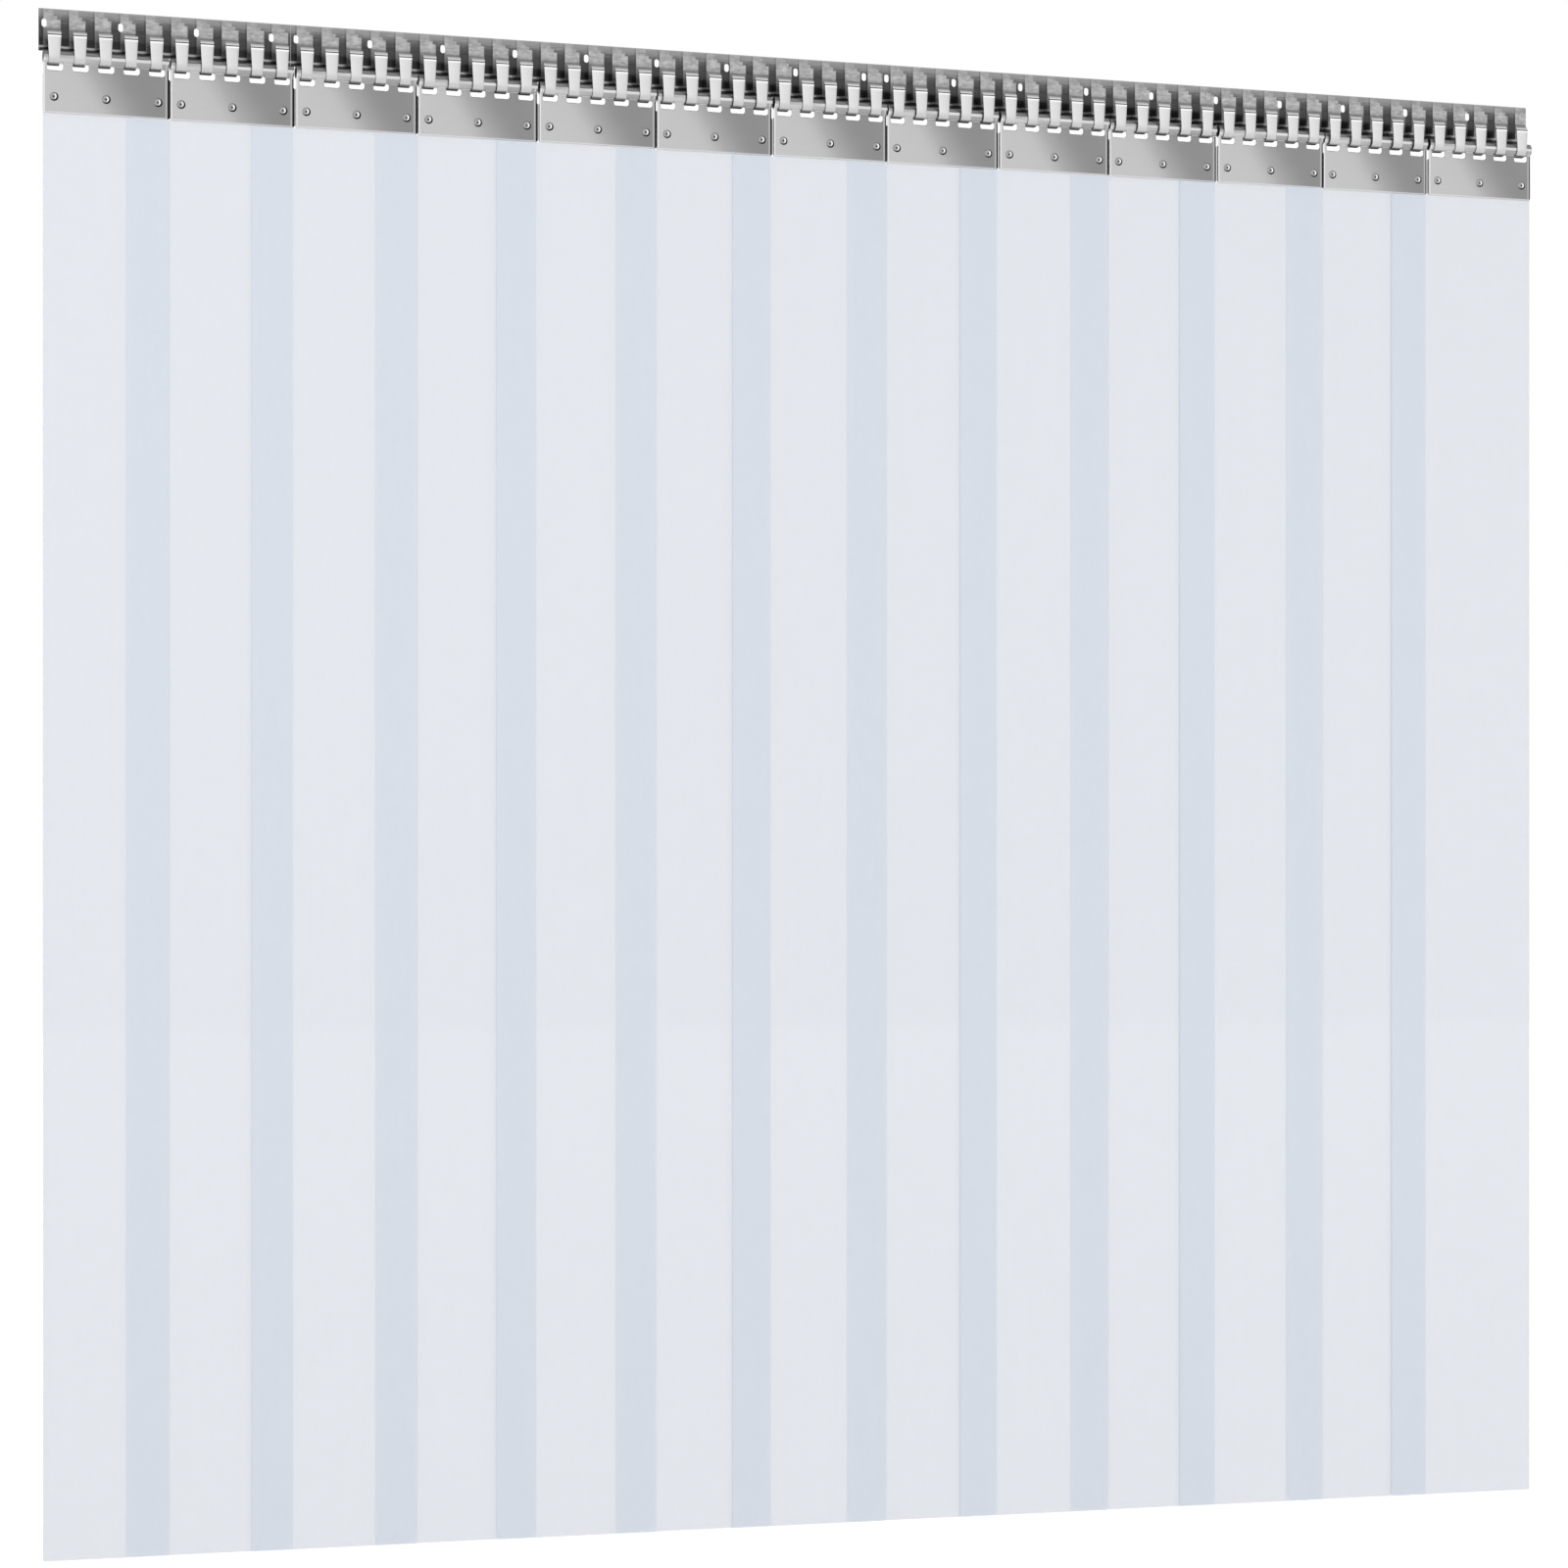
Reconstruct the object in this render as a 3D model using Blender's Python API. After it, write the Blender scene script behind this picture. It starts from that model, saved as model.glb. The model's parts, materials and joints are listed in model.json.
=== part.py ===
"""PVC strip curtain: a stainless comb rail in sections, and hangers that hook into it.

Each hanger is a rolled and slotted front plate, a back plate and a clear strip clamped
between them. The roll at the top of the front plate lies in the upturned hooks of the
rail and turns there, which is the hinge that lets a strip swing. The hooks have flat
floors, and hangers lie by turns at the front and the rear of them, one strip's thickness
apart, so that every strip hangs flat and laps over or under the next.

Lengths are in metres. X runs along the rail, Z is up and the front faces -Y. The origin
is on the wall face of the rail, at the height of its row of screw holes.
"""
from math import acos, cos, pi, radians, sin

import bmesh
import bpy
from mathutils import Vector

# Layout of the curtain, counted in hangers and hooks
HANGERS_PER_SECTION = (2, 3, 2, 3, 3)
HOOKS_PER_HANGER = 5
HOOKS_PER_SCREW_HOLE = 3
HOOK_PITCH = 0.030
HANGER_PITCH = HOOKS_PER_HANGER * HOOK_PITCH
HANGER_COUNT = sum(HANGERS_PER_SECTION)
SECTION_LEAD = 0.0025
SECTION_GAP = 0.0004
HANGER_SETTLE = 0.0015

# Rail: a flat flange whose lower edge is cut into fingers and bent up into hooks
RAIL_SHEET = 0.0015
RAIL_TOP = 0.017
TONGUE_DEPTH = 0.0330
TONGUE_CROWN = 0.0010
TONGUE_SHARES = (-0.45, 0.45)
SCREW_HOLE_WIDTH = 0.0060
SCREW_HOLE_HEIGHT = 0.0100
SCREW_HOLE_INSET = 0.0065
SCREW_HOLE_STEPS = 3

# Hooks: a roll drops in past a lip that leans back over it, on to a flat floor
TROUGH_DEPTH = 0.0417
HOOK_CORNER_BENDS = 3
HOOK_WIDTH = 0.013
HOOK_TIP_WIDTH = 0.0165
HOOK_FRONT_HEIGHT = 0.0240
LIP_LENGTH = 0.0055
LIP_LEAN = radians(35)

# Front plate: a leaf that rises into the roll, with a slot for each hook
PLATE_SHEET = 0.0015
ROLL_RADIUS = 0.008
ROLL_ROOM = 0.0006
ROLL_TURN = radians(328)
ROLL_STEPS = 10
SEAT_GAP = 0.0003
PLATE_DROP = 0.066
PLATE_GAP = 0.0026
SLOT_SIDE_GAP = 0.00125
SLOT_DROP = 0.0164
SLOT_CORNER = 0.003
SLOT_CORNER_STEPS = 1

# Back plate and the rivets that clamp the strip between the plates
CLAMP_GAP = 0.0003
BACK_PLATE_TOP_DROP = 0.0182
BACK_PLATE_FOOT = 0.001
RIVET_DROP = 0.0471
RIVET_EDGE = 0.0125
RIVET_HEAD_RADIUS = 0.0052
RIVET_HEAD_HEIGHT = 0.0014
RIVET_TAIL_RADIUS = 0.0038
RIVET_TAIL_HEIGHT = 0.0012
RIVET_SHANK_RADIUS = 0.0022
RIVET_CROWN_SHARE = 0.65
RIVET_HEAD_SIDES = 8
RIVET_SHANK_SIDES = 6

# Strip: its left margin passes the strip beside it, in front and behind by turns
STRIP_OVERLAP = 0.050
STRIP_THICKNESS = 0.002
STRIP_LENGTH = 1.750
STRIP_TOP_DROP = 0.0192
LAP_GAP = 0.0003
LAP_TOP_GAP = 0.001

# Sizes that follow from the ones above
TROUGH_RADIUS = ROLL_RADIUS + ROLL_ROOM
HANGER_SHIFT = (STRIP_THICKNESS + LAP_GAP) / 2
HOOK_CENTRE_OUT = RAIL_SHEET + TROUGH_RADIUS + HANGER_SHIFT
AXIS_UP = SEAT_GAP - ROLL_ROOM - TROUGH_DEPTH
PLATE_WIDTH = HANGER_PITCH - PLATE_GAP
STRIP_WIDTH = HANGER_PITCH + STRIP_OVERLAP
LEAF_OUT = STRIP_THICKNESS / 2 + CLAMP_GAP + PLATE_SHEET / 2
BACK_PLATE_REACH = PLATE_GAP - CLAMP_GAP
SLOT_WIDTH = HOOK_TIP_WIDTH + 2 * SLOT_SIDE_GAP
CURTAIN_LEFT = -HANGER_COUNT * HANGER_PITCH / 2

SHARP_ANGLE = radians(35)
SHARE_DIGITS = 6
SHARE_SLACK = 0.00001


def steps(first, last, count):
    """Evenly spaced values from first to last, both included."""
    return [first + (last - first) * i / count for i in range(count + 1)]


def make_material(name, colour, roughness, metallic, alpha=1.0):
    material = bpy.data.materials.new(name)
    material.use_nodes = True
    shader = material.node_tree.nodes["Principled BSDF"]
    shader.inputs["Base Color"].default_value = (*colour, 1.0)
    shader.inputs["Roughness"].default_value = roughness
    shader.inputs["Metallic"].default_value = metallic
    shader.inputs["Alpha"].default_value = alpha
    return material


def make_object(name, mesh, material, parent=None, location=(0, 0, 0)):
    obj = bpy.data.objects.new(name, mesh)
    bpy.context.collection.objects.link(obj)
    if not mesh.materials:
        mesh.materials.append(material)
    obj.parent = parent
    obj.location = location
    return obj


def finish_mesh(name, solid):
    """Turns a closed bmesh into a mesh with its faces pointing out, smooth but for its edges."""
    bmesh.ops.recalc_face_normals(solid, faces=solid.faces)
    mesh = bpy.data.meshes.new(name)
    solid.to_mesh(mesh)
    solid.free()
    mesh.shade_smooth()
    mesh.set_sharp_from_angle(angle=SHARP_ANGLE)
    return mesh


def sheet_section(path, thickness):
    """Stations of a bent sheet: length along its middle line, and its two skin points there."""
    stations = []
    length = 0.0
    for i, point in enumerate(path):
        before = (point - path[i - 1]).normalized() if i else None
        after = (path[i + 1] - point).normalized() if i + 1 < len(path) else before
        before = before or after
        along = (before + after).normalized()
        across = Vector((-along.y, along.x)) * (thickness / 2 / along.dot(after))
        length += (point - path[i - 1]).length if i else 0.0
        stations.append((length, point - across, point + across))
    return stations


def on_section(stations, length, side):
    """Skin point of a bent sheet at a length along its middle line."""
    for start, end in zip(stations, stations[1:]):
        if length <= end[0]:
            break
    share = (length - start[0]) / (end[0] - start[0])
    return start[1 + side].lerp(end[1 + side], share)


def thicken(layout, place):
    """Closed solid from a flat layout: each face on both skins, and a wall on each open edge."""
    solid = bmesh.new()
    layout.verts.index_update()
    skins = [[solid.verts.new(place(v.co.x, v.co.y, side)) for v in layout.verts] for side in (0, 1)]
    for face in layout.faces:
        for skin in skins:
            solid.faces.new([skin[v.index] for v in face.verts])
    for edge in layout.edges:
        if edge.is_boundary:
            a, b = (v.index for v in edge.verts)
            solid.faces.new((skins[0][a], skins[0][b], skins[1][b], skins[1][a]))
    layout.free()
    return solid


def add_loop(layout, points):
    """Closed loop of edges in a flat layout, returned with its vertices."""
    verts = [layout.verts.new((x, y, 0)) for x, y in points]
    edges = [layout.edges.new(pair) for pair in zip(verts, verts[1:] + verts[:1])]
    return verts, edges


def round_hole(centre, radius, sides):
    return [(centre[0] + radius * cos(a), centre[1] + radius * sin(a)) for a in steps(0, 2 * pi, sides)[:-1]]


def long_hole(centre, width, height):
    """Upright hole with round ends."""
    radius = width / 2
    rise = height / 2 - radius
    top = [(centre[0] + radius * cos(a), centre[1] + rise + radius * sin(a))
           for a in steps(0, pi, SCREW_HOLE_STEPS)]
    return top + [(2 * centre[0] - x, 2 * centre[1] - y) for x, y in top]


def rivet_places():
    """Middles of a hanger's three rivets along X, from the hanger's middle."""
    edge = PLATE_WIDTH / 2 - RIVET_EDGE
    return (-edge, 0, edge)


def slot_places():
    """Middles of a hanger's slots along X, from the hanger's left end. Its hooks lie a little to their left."""
    return [(i + 0.5) * HOOK_PITCH for i in range(HOOKS_PER_HANGER)]


def rail_path():
    """Middle line of the rail's sheet: down the flange, round a hook's two corners and up to its lip."""
    flange = RAIL_SHEET / 2
    path = [Vector((flange, RAIL_TOP)), Vector((flange, TONGUE_CROWN - TONGUE_DEPTH))]
    turn = pi / 2 / HOOK_CORNER_BENDS
    reach = (TROUGH_RADIUS + RAIL_SHEET / 2) / cos(turn / 2)
    for i in range(2 * HOOK_CORNER_BENDS):
        corner = HOOK_CENTRE_OUT + (HANGER_SHIFT if i >= HOOK_CORNER_BENDS else -HANGER_SHIFT)
        a = (i + 0.5) * turn
        path.append(Vector((corner - reach * cos(a), -TROUGH_DEPTH - reach * sin(a))))
    path.append(Vector((2 * HOOK_CENTRE_OUT - flange, HOOK_FRONT_HEIGHT - TROUGH_DEPTH)))
    path.append(path[-1] + LIP_LENGTH * Vector((-sin(LIP_LEAN), cos(LIP_LEAN))))
    return path


def tongue_depth(share):
    """Length from the rail's top edge to the crowned edge between two hooks."""
    return RAIL_TOP + TONGUE_DEPTH - TONGUE_CROWN * share * share


def rail_outline(left, right, hooks):
    """Flat blank of a rail's flange, and which of its points are the root corners of the hooks."""
    half_gap = (HOOK_PITCH - HOOK_WIDTH) / 2
    outline = [(right, 0), (left, 0)]
    corners = []
    for middle in [hooks[0] - HOOK_PITCH] + hooks:
        gap = middle + HOOK_PITCH / 2
        first, last = ((end - gap) / half_gap for end in (left, right))
        shares = {round(share, SHARE_DIGITS) for share in (-1, *TONGUE_SHARES, 1, first, last)}
        for share in sorted(shares):
            if max(first, -1) - SHARE_SLACK <= share <= min(last, 1) + SHARE_SLACK:
                if abs(share) == 1:
                    corners.append(len(outline))
                outline.append((gap + share * half_gap, tongue_depth(share)))
    return outline, corners


def hook_width(section, length):
    """Width of a finger: even round its corners, and wider from there to its tip."""
    base = section[1 + 2 * HOOK_CORNER_BENDS][0]
    flare = max(0.0, (length - base) / (section[-1][0] - base))
    return HOOK_WIDTH + flare * (HOOK_TIP_WIDTH - HOOK_WIDTH)


def make_rail_section(first_hanger, hangers):
    """One length of rail as a flat blank with its screw holes, bent up along its section."""
    section = sheet_section(rail_path(), RAIL_SHEET)
    start = CURTAIN_LEFT + first_hanger * HANGER_PITCH
    left = start - SECTION_LEAD
    right = left + hangers * HANGER_PITCH - SECTION_GAP
    if first_hanger + hangers == HANGER_COUNT:
        right = -CURTAIN_LEFT
    hooks = [start + k * HANGER_PITCH + x - HANGER_SETTLE for k in range(hangers) for x in slot_places()]

    layout = bmesh.new()
    outline, corners = rail_outline(left, right, hooks)
    verts, edges = add_loop(layout, outline)
    hole = left + SCREW_HOLE_INSET
    while hole + SCREW_HOLE_WIDTH < right:
        edges += add_loop(layout, long_hole((hole, RAIL_TOP), SCREW_HOLE_WIDTH, SCREW_HOLE_HEIGHT))[1]
        hole += HOOKS_PER_SCREW_HOLE * HOOK_PITCH
    bmesh.ops.triangle_fill(layout, use_beauty=True, edges=edges)

    for middle, left_corner, right_corner in zip(hooks, corners[::2], corners[1::2]):
        row = (verts[left_corner], verts[right_corner])
        for length, _, _ in section[2:]:
            half = hook_width(section, length) / 2
            new = [layout.verts.new((middle + side * half, length, 0)) for side in (-1, 1)]
            layout.faces.new((row[0], row[1], new[1], new[0]))
            row = new

    def place(x, length, side):
        out, up = on_section(section, length, side)
        return Vector((x, -out, up))

    return finish_mesh("rail_section", thicken(layout, place))


def front_plate_path():
    """Middle line of the front plate's sheet, from its lower edge up and round the roll."""
    radius = ROLL_RADIUS - PLATE_SHEET / 2
    start = -acos(LEAF_OUT / radius)
    path = [Vector((LEAF_OUT, -PLATE_DROP))]
    path += [radius * Vector((cos(a), sin(a))) for a in steps(start, start + ROLL_TURN, ROLL_STEPS)]
    return path


def slot_outline(middle, top, bottom):
    """Slot edge from its upper right corner, round its two lower corners, to its upper left."""
    half = SLOT_WIDTH / 2
    points = [(middle + half, top)]
    for side, first in ((1, 0), (-1, -pi / 2)):
        corner = Vector((middle + side * (half - SLOT_CORNER), bottom + SLOT_CORNER))
        for a in steps(first, first - pi / 2, SLOT_CORNER_STEPS):
            points.append(tuple(corner + SLOT_CORNER * Vector((cos(a), sin(a)))))
    points.append((middle - half, top))
    return points


def rivet_shapes():
    """A rivet's head, shank and tail: sides, front and rear radius, front and rear place."""
    head_top = LEAF_OUT + PLATE_SHEET / 2 + RIVET_HEAD_HEIGHT
    rear = -STRIP_THICKNESS / 2 - 2 * CLAMP_GAP - PLATE_SHEET
    tail_end = rear - RIVET_TAIL_HEIGHT
    head_crown = RIVET_HEAD_RADIUS * RIVET_CROWN_SHARE
    tail_crown = RIVET_TAIL_RADIUS * RIVET_CROWN_SHARE
    return (
        (RIVET_HEAD_SIDES, head_crown, RIVET_HEAD_RADIUS, head_top, LEAF_OUT),
        (RIVET_SHANK_SIDES, RIVET_SHANK_RADIUS, RIVET_SHANK_RADIUS, LEAF_OUT, (rear + tail_end) / 2),
        (RIVET_SHANK_SIDES, RIVET_TAIL_RADIUS, tail_crown, rear, tail_end),
    )


def make_turned(sides, front_radius, rear_radius, front, rear):
    """Closed cone or cylinder about Y, between two places in front of the axis."""
    solid = bmesh.new()
    rings = [[solid.verts.new((x, -out, up)) for x, up in round_hole((0, 0), radius, sides)]
             for radius, out in ((front_radius, front), (rear_radius, rear))]
    for i in range(sides):
        j = (i + 1) % sides
        solid.faces.new((rings[0][i], rings[0][j], rings[1][j], rings[1][i]))
    for ring in rings:
        solid.faces.new(ring)
    return finish_mesh("turned", solid)


def add_rivets(leaf, material):
    """Joins three rivets to a front plate, and returns its evaluated mesh."""
    helpers = []
    for shape in rivet_shapes():
        mesh = make_turned(*shape)
        helpers += [make_object("rivet", mesh, material, None, (x, 0, -RIVET_DROP)) for x in rivet_places()]
    for helper in helpers:
        union = leaf.modifiers.new("rivet", "BOOLEAN")
        union.operation = "UNION"
        union.object = helper
    bpy.context.view_layer.update()
    graph = bpy.context.evaluated_depsgraph_get()
    mesh = bpy.data.meshes.new_from_object(leaf.evaluated_get(graph))
    for helper in [leaf] + helpers:
        bpy.data.objects.remove(helper)
    mesh.set_sharp_from_angle(angle=SHARP_ANGLE)
    return mesh


def make_front_plate(material):
    """Slotted leaf with its rolled edge, and the three rivets set in it."""
    section = sheet_section(front_plate_path(), PLATE_SHEET)
    half = PLATE_WIDTH / 2
    bend = section[1][0]
    slot_bottom = PLATE_DROP - SLOT_DROP
    outline = [(-half, 0), (half, 0), (half, bend)]
    for x in reversed(slot_places()):
        outline += slot_outline(x - HANGER_PITCH / 2, bend, slot_bottom)
    outline.append((-half, bend))

    layout = bmesh.new()
    verts, edges = add_loop(layout, outline)
    bmesh.ops.triangle_fill(layout, use_beauty=True, edges=edges)
    row = [v for v, point in zip(verts, outline) if point[1] == bend]
    for length, _, _ in section[2:]:
        new = [layout.verts.new((x, length, 0)) for x in (-half, half)]
        layout.faces.new(row + new)
        row = new[::-1]

    def place(x, length, side):
        out, up = on_section(section, length, side)
        return Vector((x, -out, up))

    leaf = make_object("plate_blank", finish_mesh("front_plate", thicken(layout, place)), material)
    return add_rivets(leaf, material)


def make_flat_sheet(name, corners, front, thickness, holes=()):
    """Flat upright sheet between two corners, with its front skin that far in front of the axis."""
    (left, foot), (right, top) = corners
    layout = bmesh.new()
    edges = add_loop(layout, [(left, foot), (right, foot), (right, top), (left, top)])[1]
    for x in holes:
        hole = round_hole((x, -RIVET_DROP), RIVET_SHANK_RADIUS + CLAMP_GAP, RIVET_SHANK_SIDES)
        edges += add_loop(layout, hole)[1]
    bmesh.ops.triangle_fill(layout, use_beauty=True, edges=edges)

    def place(x, up, side):
        return Vector((x, side * thickness - front, up))

    return finish_mesh(name, thicken(layout, place))


def make_back_plate():
    """Flat clamping plate behind the strip, which reaches past it and closes the gap to the next plate."""
    half = PLATE_WIDTH / 2
    corners = ((-half, BACK_PLATE_FOOT - PLATE_DROP), (half + BACK_PLATE_REACH, -BACK_PLATE_TOP_DROP))
    front = -STRIP_THICKNESS / 2 - CLAMP_GAP
    return make_flat_sheet("back_plate", corners, front, PLATE_SHEET, rivet_places())


def make_strip():
    """The strip as wide as its plates, which clamp its top."""
    half = PLATE_WIDTH / 2
    corners = ((-half, -STRIP_TOP_DROP - STRIP_LENGTH), (half, -STRIP_TOP_DROP))
    return make_flat_sheet("strip", corners, STRIP_THICKNESS / 2, STRIP_THICKNESS, rivet_places())


def make_lap():
    """The rest of a strip's width, cut away beside the next plate so that it starts just below it."""
    half = PLATE_WIDTH / 2
    corners = ((half - STRIP_WIDTH, -STRIP_TOP_DROP - STRIP_LENGTH),
               (-half - CLAMP_GAP, -PLATE_DROP - LAP_TOP_GAP))
    return make_flat_sheet("lap", corners, STRIP_THICKNESS / 2, STRIP_THICKNESS)


def clear_scene():
    for obj in list(bpy.data.objects):
        bpy.data.objects.remove(obj)


def main():
    clear_scene()
    rail_steel = make_material("rail_steel", (0.60, 0.60, 0.59), 0.24, 1.0)
    plate_steel = make_material("plate_steel", (0.56, 0.56, 0.56), 0.34, 1.0)
    clear_pvc = make_material("clear_pvc", (0.64, 0.68, 0.75), 0.12, 0.0, 0.6)

    first = 0
    for number, hangers in enumerate(HANGERS_PER_SECTION, 1):
        make_object(f"rail_section_{number}", make_rail_section(first, hangers), rail_steel)
        first += hangers

    front_plate = make_front_plate(plate_steel)
    back_plate = make_back_plate()
    strip = make_strip()
    lap = make_lap()
    for k in range(HANGER_COUNT):
        axis = bpy.data.objects.new(f"hanger_axis_{k + 1:02d}", None)
        bpy.context.collection.objects.link(axis)
        middle = CURTAIN_LEFT + (k + 0.5) * HANGER_PITCH
        shift = -HANGER_SHIFT if k % 2 else HANGER_SHIFT
        axis.location = (middle, -HOOK_CENTRE_OUT - shift, AXIS_UP)
        make_object(f"front_plate_{k + 1:02d}", front_plate, plate_steel, axis)
        make_object(f"back_plate_{k + 1:02d}", back_plate, plate_steel, axis)
        make_object(f"strip_{k + 1:02d}", strip, clear_pvc, axis)
        if k:
            make_object(f"strip_{k + 1:02d}_lap", lap, clear_pvc, axis)


main()
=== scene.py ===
"""Looks of the PVC strip curtain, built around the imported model.

Rail, plates and back plates are bent or flat sheet steel with rounded edges, the rivets are
domed, and each clear strip is one piece. Lengths are in metres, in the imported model's frame:
X runs along the rail, Z is up and the front faces -Y.
"""
import json
from math import acos, cos, pi, radians, sin

import bmesh
import bpy
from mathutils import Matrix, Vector


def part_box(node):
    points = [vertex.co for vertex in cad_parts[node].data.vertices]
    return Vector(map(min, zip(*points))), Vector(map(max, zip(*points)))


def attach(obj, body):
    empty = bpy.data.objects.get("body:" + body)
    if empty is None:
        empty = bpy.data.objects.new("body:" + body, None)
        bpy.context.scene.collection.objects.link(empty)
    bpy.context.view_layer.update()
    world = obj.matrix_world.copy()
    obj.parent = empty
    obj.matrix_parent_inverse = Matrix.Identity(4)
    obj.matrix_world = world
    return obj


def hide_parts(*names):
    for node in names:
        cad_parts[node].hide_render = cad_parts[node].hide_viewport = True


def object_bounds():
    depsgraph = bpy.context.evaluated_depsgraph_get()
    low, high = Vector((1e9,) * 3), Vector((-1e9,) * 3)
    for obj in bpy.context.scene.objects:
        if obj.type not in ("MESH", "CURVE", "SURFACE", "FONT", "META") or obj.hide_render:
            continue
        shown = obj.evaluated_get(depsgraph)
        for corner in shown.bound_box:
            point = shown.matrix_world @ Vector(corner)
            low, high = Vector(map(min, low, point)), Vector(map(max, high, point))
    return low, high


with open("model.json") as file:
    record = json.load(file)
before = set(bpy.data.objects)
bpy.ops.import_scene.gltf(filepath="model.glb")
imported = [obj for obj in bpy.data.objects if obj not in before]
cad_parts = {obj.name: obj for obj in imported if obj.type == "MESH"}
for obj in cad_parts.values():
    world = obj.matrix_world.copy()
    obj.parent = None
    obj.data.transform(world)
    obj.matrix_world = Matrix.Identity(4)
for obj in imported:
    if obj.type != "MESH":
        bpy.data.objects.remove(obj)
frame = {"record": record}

cad_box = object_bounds()

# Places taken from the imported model
JOINTS = sorted(frame["record"]["behaviour"]["joints"], key=lambda joint: joint["name"])
HANGERS = {joint["child"][-2:]: Vector(joint["pos_m"]) for joint in JOINTS}
RAILS = frame["record"]["behaviour"]["bodies"]["rail"]
FIRST = HANGERS["01"]
SECOND = HANGERS["02"]
HANGER_PITCH = SECOND.x - FIRST.x
PLATE_LOW, PLATE_HIGH = (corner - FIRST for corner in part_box("front_plate_01"))
BACK_LOW, BACK_HIGH = (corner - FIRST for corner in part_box("back_plate_01"))
STRIP_LOW, STRIP_HIGH = (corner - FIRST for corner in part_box("strip_01"))
LAP_LOW, LAP_HIGH = (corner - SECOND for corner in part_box("strip_02_lap"))

# Rail and its hooks
HOOKS_PER_HANGER = 5
HOOK_PITCH = HANGER_PITCH / HOOKS_PER_HANGER
HOOKS_PER_SCREW_HOLE = 3
RAIL_SHEET = 0.0015
RAIL_TOP = cad_box[1].z
HANGER_SETTLE = 0.0015
TONGUE_DEPTH = 0.033
TONGUE_CROWN = 0.001
TONGUE_STEPS = 10
SCREW_HOLE_WIDTH = 0.006
SCREW_HOLE_HEIGHT = 0.010
SCREW_HOLE_INSET = 0.0065
SCREW_HOLE_STEPS = 12
TROUGH_DEPTH = 0.0417
CORNER_BENDS = 10
HOOK_WIDTH = 0.013
HOOK_TIP_WIDTH = 0.0165
HOOK_FRONT_HEIGHT = 0.024
LIP_LENGTH = 0.0055
LIP_LEAN = radians(35)
LIP_BENDS = 3
LIP_BEND_RADIUS = 0.0012
RAIL_EDGE = 0.00025
SAME_PLACE = RAIL_EDGE / 4  # vertices this near each other are one
HOOK_CENTRE_OUT = -(FIRST.y + SECOND.y) / 2
HANGER_SHIFT = abs(FIRST.y - SECOND.y) / 2
TROUGH_RADIUS = HOOK_CENTRE_OUT - RAIL_SHEET - HANGER_SHIFT
FINGER_TOP = HOOK_FRONT_HEIGHT - TROUGH_DEPTH

# Front plate: its leaf, roll and slots
PLATE_SHEET = 0.0015
ROLL_RADIUS = 0.008
ROLL_TURN = radians(328)
ROLL_STEPS = 40
LEAF_OUT = 0.00205
SLOT_WIDTH = 0.019
SLOT_DROP = 0.0164
SLOT_CORNER = 0.003
CORNER_STEPS = 6
PLATE_CORNER = 0.0022
PLATE_EDGE = 0.00025

# Rivets through the plates and the strip
RIVET_DROP = 0.0471
RIVET_EDGE = 0.0125
RIVET_HOLE_RADIUS = 0.0025
RIVET_SIDES = 28
RIVET_HEAD = ((0.0, 0.55), (0.0008, 0.5), (0.0014, 0.75), (0.0018, 0.98), (0.0026, 1.0), (0.0034, 0.92),
              (0.0043, 0.66), (0.0049, 0.34), (0.0052, 0.0))
RIVET_TAIL = ((0.0, 0.35), (0.0012, 0.4), (0.0018, 0.9), (0.0024, 1.0), (0.0031, 0.85), (0.0036, 0.45),
              (0.0038, 0.0))
RIVET_HEAD_HEIGHT = 0.0014
RIVET_TAIL_HEIGHT = 0.0012
RIVET_SHANK_RADIUS = 0.0022

# Strips
STRIP_THICKNESS = 0.002
STRIP_EDGE = 0.0006
STRIP_CORNER = 0.002

# The photograph's camera, fitted to the corners of the curtain
CAMERA_PLACE = (-1.5778, -4.7818, -1.0452)
CAMERA_YAW = radians(17.655)
CAMERA_LENS = 92.36
CAMERA_SHIFT = 0.0802

SHARP_ANGLE = radians(32)
FLAT_ANGLE = radians(0.1)

WHITE = (1.0, 1.0, 1.0, 1.0)
MIX_SOCKETS = (0, 6, 7)  # the factor and the two colours of a Mix node
MIX_RESULT = 2


def steps(first, last, count):
    """Evenly spaced values from first to last, both included."""
    return [first + (last - first) * i / count for i in range(count + 1)]


def grey(level):
    """Linear value of an sRGB grey level from 0 to 255."""
    share = level / 255
    return share / 12.92 if share <= 0.04045 else ((share + 0.055) / 1.055) ** 2.4


def flat(level):
    """Even grey colour of an sRGB level."""
    return (*[grey(level)] * 3, 1.0)


# Helpers that add shader nodes
def node(tree, kind, inputs=None, **settings):
    """Adds a node with its settings, and sets or links its inputs."""
    made = tree.nodes.new("ShaderNode" + kind)
    for name, value in settings.items():
        setattr(made, name, value)
    for key, value in (inputs or {}).items():
        if isinstance(value, bpy.types.NodeSocket):
            tree.links.new(value, made.inputs[key])
        else:
            made.inputs[key].default_value = value
    return made


def calc(tree, operation, *values):
    """Result of a Math node."""
    return node(tree, "Math", dict(enumerate(values)), operation=operation).outputs[0]


def ramp(tree, value, stops, interpolation="LINEAR"):
    """Grey colour ramp: stops are positions with sRGB grey levels."""
    made = node(tree, "ValToRGB", {"Fac": value})
    band = made.color_ramp
    band.interpolation = interpolation
    while len(band.elements) < len(stops):
        band.elements.new(1.0)
    for element, (position, level) in zip(band.elements, stops):
        element.position = position
        element.color = flat(level)
    return made.outputs["Color"]


def smooth(tree, value, low, high):
    """0 below low, 1 above high, with a smooth step between."""
    made = node(tree, "MapRange", {"Value": value, "From Min": low, "From Max": high},
                interpolation_type="SMOOTHSTEP")
    return made.outputs["Result"]


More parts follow.
